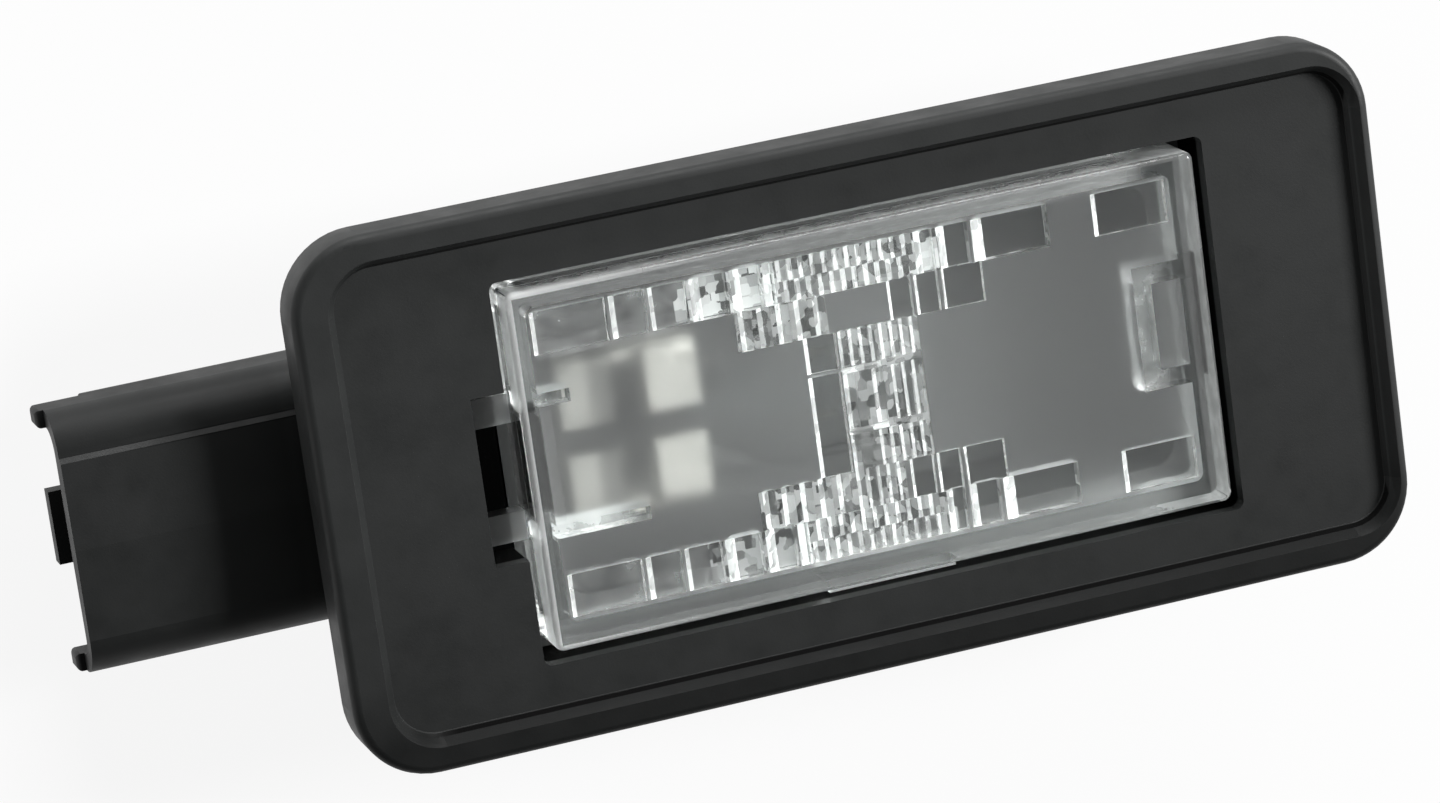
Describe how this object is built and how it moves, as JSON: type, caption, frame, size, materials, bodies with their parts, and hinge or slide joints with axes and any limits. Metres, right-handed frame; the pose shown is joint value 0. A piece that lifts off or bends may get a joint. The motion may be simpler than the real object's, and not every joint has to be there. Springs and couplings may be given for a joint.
{
  "type": "number plate lamp",
  "caption": "Rectangular number plate lamp: black bezel with a raised rim, clear prismatic lens over a capless bulb, snap arm behind one end and a plug socket reaching out at the other.",
  "frame": {"origin": "centre of the bezel's rear face, the plane that seats on the car's panel", "axes": "+X along the lamp, away from the plug socket; +Y across it; +Z out of the lens, away from the panel"},
  "size_m": [0.0907, 0.0364, 0.0168],
  "materials": {
    "housing_black": "black moulded plastic with a fine spark-eroded grain",
    "lens_clear": "clear moulded plastic, polished outside, prisms inside",
    "reflector_grey": "dark-grey moulded plastic, satin",
    "bulb_glass": "clear glass",
    "filament": "coiled tungsten wire",
    "lead_wire": "plated wire",
    "tinned_strip": "tin-plated, satin"
  },
  "bodies": {
    "root": {"housing": "housing_black", "lens": "lens_clear", "reflector_tray": "reflector_grey", "bulb_glass": "bulb_glass", "bulb_filament": "filament", "bulb_lead_upper": "lead_wire", "bulb_lead_lower": "lead_wire", "contact_strip_upper": "tinned_strip", "contact_strip_lower": "tinned_strip"}
  },
  "joints": []
}
